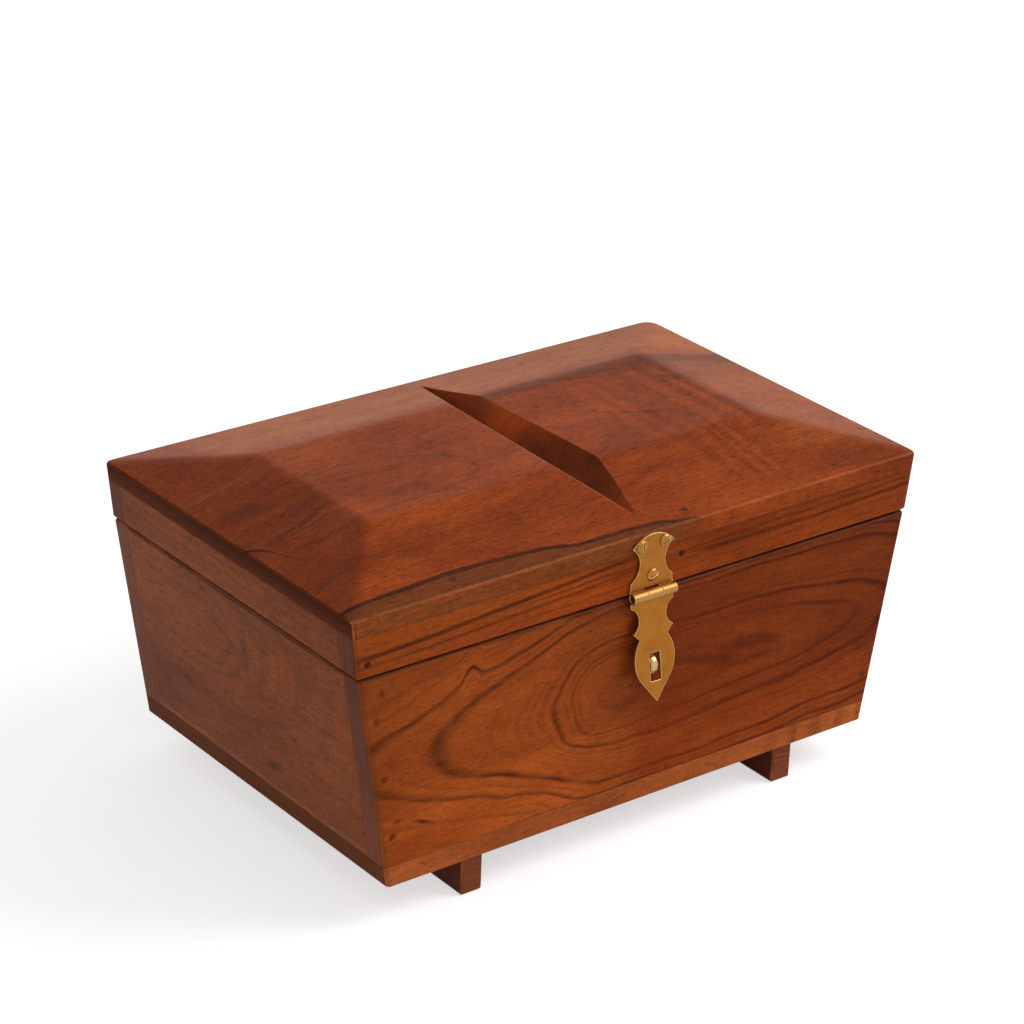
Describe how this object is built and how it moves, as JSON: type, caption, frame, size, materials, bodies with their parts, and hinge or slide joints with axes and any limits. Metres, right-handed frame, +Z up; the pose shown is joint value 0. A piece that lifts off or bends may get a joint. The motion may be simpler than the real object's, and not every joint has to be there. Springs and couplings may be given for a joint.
{
  "type": "wooden storage box",
  "caption": "Hardwood storage box with leaning ends on foot runners, a carved hinged lid with a V-groove, and a brass hasp and staple for a padlock.",
  "frame": {"origin": "on the floor, under the middle of the overall bounding box", "axes": "+X along the front to the right, +Y from the hasp side to the hinge side, +Z up"},
  "size_m": [0.3048, 0.1968, 0.1573],
  "materials": {
    "varnished_hardwood": "satin varnish over figured reddish-brown hardwood",
    "peg_wood": "dark hardwood pegs, cut flush and varnished",
    "satin_brass": "satin, lightly tarnished sheet and wire",
    "steel_pin": "drawn wire"
  },
  "bodies": {
    "body": {"front_board": "varnished_hardwood", "back_board": "varnished_hardwood", "left_end_board": "varnished_hardwood", "right_end_board": "varnished_hardwood", "bottom_board": "varnished_hardwood", "left_foot_runner": "varnished_hardwood", "right_foot_runner": "varnished_hardwood", "front_wall_pegs": "peg_wood", "back_wall_pegs": "peg_wood", "bottom_pegs": "peg_wood", "runner_pegs": "peg_wood", "staple": "satin_brass", "left_hinge_body_leaf": "satin_brass", "right_hinge_body_leaf": "satin_brass", "left_hinge_pin": "steel_pin", "right_hinge_pin": "steel_pin", "hinge_body_screws": "satin_brass"},
    "lid": {"lid_front_rail": "varnished_hardwood", "lid_back_rail": "varnished_hardwood", "lid_left_rail": "varnished_hardwood", "lid_right_rail": "varnished_hardwood", "lid_top_panel": "varnished_hardwood", "lid_top_pegs": "peg_wood", "lid_rail_pegs": "peg_wood", "hasp_plate": "satin_brass", "hasp_plate_screws": "satin_brass", "hasp_pin": "steel_pin", "left_hinge_lid_leaf": "satin_brass", "right_hinge_lid_leaf": "satin_brass", "hinge_lid_screws": "satin_brass"},
    "flap": {"hasp_flap": "satin_brass"}
  },
  "joints": [
    {"name": "lid_hinge", "type": "hinge", "parent": "body", "child": "lid", "pos_m": [0, 0.09589, 0.119], "axis": [-1, 0, 0], "range_deg": [0, 100]},
    {"name": "flap_hinge", "type": "hinge", "parent": "lid", "child": "flap", "pos_m": [0.001, -0.09191, 0.119], "axis": [-1, 0, 0], "range_deg": [-9, 170]}
  ]
}
